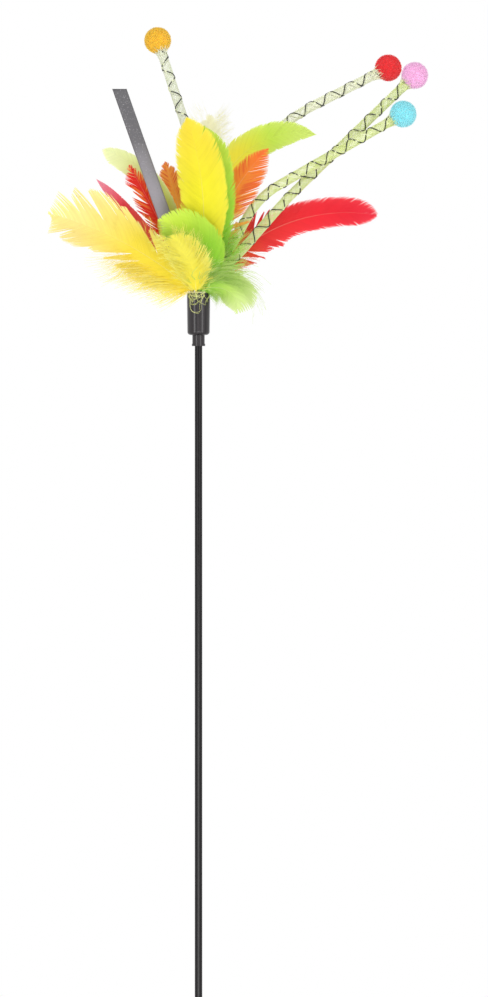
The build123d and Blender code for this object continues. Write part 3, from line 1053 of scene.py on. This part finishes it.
def in_plane(place, front_view):
    """A place in the front view, measured in millimetres from the mouth's centre, in the stem's plane."""
    across = front_view[0] * MM - place.translation.x
    up = (MOUTH + front_view[1] * MM - place.translation.z) / place[2][1]
    return across, up


def show(piece, body, slot, *nodes):
    """Lets a piece ride on its body and puts it in place of the nodes."""
    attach(piece, body)
    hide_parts(*nodes)


def add_feathers():
    """All feathers, each grown in the plane that its stem swings in."""
    tree = feather_tree()
    dyes = {name: dyed_barbs("barbs_" + name, *colours) for name, colours in FEATHER_DYES.items()}
    for seed, (name, feather) in enumerate(FEATHERS.items(), start=FIRST_FEATHER_SEED):
        make = MAKES[feather.make]
        place = swing_place(name)
        across, up = in_plane(place, feather.tip)
        turn = radians(feather.turn)
        unit_across = (1 - feather.lead) * (1 - cos(turn)) / turn
        unit_up = feather.lead + (1 - feather.lead) * sin(turn) / turn
        length = hypot(across, up) / hypot(unit_across, unit_up)
        outward = atan2(-place[1][1], place[2][1]) / FULL_TILT
        mean_half = (feather.left + feather.right) / 2 * MM
        piece = grown("visual_" + name, tree, dyes[feather.dye], place, {
            "Length": length, "Lead": feather.lead * length, "Turn": turn,
            "Start": atan2(across, up) - atan2(unit_across, unit_up),
            "Bow": TIP_BOW * outward, "Dip": CUP_DEPTH_PER_WIDTH * outward * mean_half,
            "Left": feather.left * MM, "Right": feather.right * MM, "Widen": feather.widen,
            "Blunt": feather.blunt, "Barbs": int(length / (make.spacing * MM)),
            "Barb Width": make.barb * MM, "Sweep": BARB_SWEEP, "Clumps": make.clumps,
            "Split": make.split, "Ragged": make.ragged, "Lift": CLUMP_LIFT,
            "Combed": make.combed, "Comb Reach": make.comb_reach,
            "Down": make.down, "Fluff": FLUFF_PER_WIDTH * mean_half, "Hairs": make.hairs,
            "Hair Length": make.hair_length, "Hairs Right": make.hairs_right, "Seed": seed,
        })
        show(piece, name, "feather_" + name.split("_")[1], name)


def arm_route(place, arm):
    """Straight run, bend and straight run of a sleeve, as lengths, with its headings."""
    across, up = in_plane(place, arm.pompom)
    leave = radians(arm.leave)
    arrive = radians(arm.arrive)
    radius = arm.bend * MM if arrive > leave else -arm.bend * MM
    across -= radius * (cos(leave) - cos(arrive))
    up -= radius * (sin(arrive) - sin(leave))
    cross = sin(leave) * cos(arrive) - cos(leave) * sin(arrive)
    first = (across * cos(arrive) - up * sin(arrive)) / cross
    last = (sin(leave) * up - cos(leave) * across) / cross
    bend = radius * (arrive - leave)
    return {"First": first, "Bend": bend, "Leave": leave, "Arrive": arrive}, first + bend + last


def add_arms():
    """Mesh sleeve, zigzag thread, frayed end and pompom of each arm."""
    tree = sleeve_tree()
    pompoms = pompom_tree()
    pale = thread("mesh_thread_pale", dye(250, 252, 236), dye(232, 240, 206))
    light = thread("mesh_thread_light", dye(252, 254, 232), dye(240, 246, 196))
    lime = thread("mesh_thread_lime", dye(246, 250, 206), dye(216, 232, 128))
    dark = dashed_thread()
    open_radius = SLEEVE_DIAMETER / 2
    for seed, (colour, arm) in enumerate(ARMS.items(), start=FIRST_ARM_SEED):
        body = "arm_" + colour
        place = swing_place(body)
        route, to_centre = arm_route(place, arm)
        end = to_centre - POMPOM_DIAMETER / 2 + SOCKET_DEPTH
        mesh = {"yellow": pale, "red": light}.get(colour, lime)
        slot = "mesh_pale" if colour == "yellow" else "mesh_lime"
        tube = {**route, "To": end, "Root Radius": SLEEVE_ROOT_DIAMETER / 2, "Seed": seed}
        sleeve = grown("visual_sleeve_" + colour, tree, mesh, place, {
            **tube, "From": 0.0, "Open Radius": open_radius - MESH_THREAD / 2, "Pitch": MESH_PITCH,
            "Threads": MESH_THREADS, "Thread": MESH_THREAD, "Stray": MESH_STRAY, "Steps": MESH_STEPS,
        })
        show(sleeve, body, slot, "sleeve_" + colour)
        zigzag = grown("zigzag_" + colour, tree, dark, place, {
            **tube, "From": ZIGZAG_START, "Open Radius": open_radius, "Pitch": ZIGZAG_PITCH,
            "Threads": ZIGZAG_THREADS, "Thread": ZIGZAG_THREAD, "Stray": ZIGZAG_STRAY,
            "Steps": ZIGZAG_STEPS,
        })
        show(zigzag, body, slot)
        fray = grown("fray_" + colour, tree, mesh, place, {
            **tube, "From": end - FRAY_LENGTH, "To": end - FRAY_SHORT_OF_END,
            "Open Radius": open_radius, "Pitch": FRAY_PITCH, "Threads": FRAY_THREADS,
            "Thread": MESH_THREAD, "Flare": FRAY_FLARE, "Stray": FRAY_STRAY, "Steps": FRAY_STEPS,
            "Seed": seed + FRAY_SEED_STEP,
        })
        show(fray, body, slot)
        finish = fuzz("fuzz_" + colour, *POMPOM_DYES_AND_SHADE[colour])
        centre = place @ Matrix.Translation((*in_plane(place, arm.pompom), 0.0))
        ball = grown("visual_pompom_" + colour, pompoms, finish, centre, {
            "Radius": POMPOM_DIAMETER / 2, "Core": POMPOM_CORE * POMPOM_DIAMETER / 2,
            "Fibres": POMPOM_FIBRES, "Fibre": POMPOM_FIBRE, "Curl": FIBRE_CURL, "Seed": seed,
        })
        show(ball, body, "pompom_" + colour, "pompom_" + colour)


def add_ribbon():
    """The film ribbon, from its root to its level top."""
    place = swing_place("ribbon")
    across, up = in_plane(place, RIBBON_TOP)
    piece = grown("visual_ribbon", ribbon_tree(), metallised_film(), place, {
        "Length": hypot(across, up), "Slant": atan2(across, up), "Crease": CREASE_HEIGHT,
    })
    show(piece, "ribbon", "film", "ribbon")


def add_stray_threads():
    """Loose loops of thread at the ferrule's mouth, which stay with the handle."""
    finish = thread("stray_thread", dye(244, 246, 180), dye(224, 232, 130))
    piece = grown("stray_threads", stray_tree(), finish, Matrix.Identity(4), {
        "Threads": STRAY_THREADS, "Thread": STRAY_THREAD, "Mouth": MOUTH, "Hang": STRAY_HANG,
        "Seed": STRAY_SEED,
    })
    show(piece, "handle", "mesh_lime")


def dress_solids():
    """Finishes of the pieces that keep their solids."""
    glue = hot_melt()
    rod = black_moulding(
        "rod_black", shine=0.2, gloss=0.06, grain=0.02, deep=dye(10, 9, 10), pale=dye(26, 23, 25),
    )
    ferrule = black_moulding(
        "ferrule_black", shine=0.4, gloss=0.1, grain=0.08, deep=dye(24, 21, 23), pale=dye(50, 45, 48),
    )
    finishes = {"rod": rod, "ferrule": ferrule, "grip_cap": soft_rubber(), "glue_plug": glue}
    finishes.update({"glue_dab_" + colour: glue for colour in ARMS})
    for node, finish in finishes.items():
        slots = frame["nodes"][node].data.materials
        slots.clear()
        slots.append(finish)


# Studio

def add_lamp(name, lamp):
    """A soft lamp turned to the middle of the tuft."""
    light = bpy.data.lights.new(name, "AREA")
    light.shape = "RECTANGLE"
    light.size, light.size_y = lamp.size
    light.energy = lamp.power
    holder = bpy.data.objects.new(name, light)
    holder.location = lamp.place
    heading = Vector(LAMP_TARGET) - Vector(lamp.place)
    holder.rotation_euler = heading.to_track_quat("-Z", "Y").to_euler()
    holder.visible_camera = False
    bpy.context.scene.collection.objects.link(holder)


def add_surround():
    """A world that is seen and mirrored white, and lights the wand at a lower level."""
    world = bpy.data.worlds.new("studio")
    bpy.context.scene.world = world
    world.use_nodes = True
    surround = Nodes(world.node_tree)
    background = world.node_tree.nodes["Background"]
    background.inputs["Color"].default_value = grey(1.0)
    path = world.node_tree.nodes.new("ShaderNodeLightPath")
    seen = Value(surround, path.outputs["Is Camera Ray"])
    for ray in ("Is Transmission Ray", "Is Glossy Ray"):
        seen = seen.at_least(Value(surround, path.outputs[ray]))
    level = seen.at_least(SURROUND_LEVEL)
    world.node_tree.links.new(level.socket, background.inputs["Strength"])


def add_floor():
    """Pale paper under the wand that fades out towards its rim."""
    finish = FinishTree("floor_paper", Roughness=0.9)
    grain = finish.noise(scale=260.0, detail=3.0)
    finish.set(Base_Color=finish.ramp(grain, ((0.3, grey(0.88)), (0.7, grey(0.9)))))
    x, y, _ = finish.parts(finish.place())
    from_middle = (x * x + y * y).math("SQRT")
    finish.set(Alpha=1.0 - from_middle.eased(FLOOR_RADIUS * FLOOR_SOLID, FLOOR_RADIUS))
    mesh = bpy.data.meshes.new("floor")
    ground = cad_box[0].z
    sides = ((-1, -1), (1, -1), (1, 1), (-1, 1))
    corners = [(FLOOR_RADIUS * across, FLOOR_RADIUS * deep, ground) for across, deep in sides]
    mesh.from_pydata(corners, [], [(0, 1, 2, 3)])
    mesh.materials.append(finish.material)
    floor = bpy.data.objects.new("floor", mesh)
    bpy.context.scene.collection.objects.link(floor)


def studio():
    """White surroundings, soft light from all round and a pale floor."""
    for name, lamp in LAMPS.items():
        add_lamp(name, lamp)
    add_surround()
    add_floor()


def camera():
    """A long lens straight from the front, framed as the photograph is."""
    lens = bpy.data.cameras.new("camera")
    lens.sensor_width = SENSOR
    lens.lens = SENSOR * CAMERA_DISTANCE / VIEW_HEIGHT
    lens.clip_end = CAMERA_CLIP
    eye = bpy.data.objects.new("camera", lens)
    eye.location = (VIEW_CENTRE[0], -CAMERA_DISTANCE, VIEW_CENTRE[1])
    eye.rotation_euler = (pi / 2, 0.0, 0.0)
    bpy.context.scene.collection.objects.link(eye)
    bpy.context.scene.camera = eye
    bpy.context.scene.view_settings.view_transform = "Standard"


dress_solids()
add_feathers()
add_arms()
add_ribbon()
add_stray_threads()
studio()
camera()
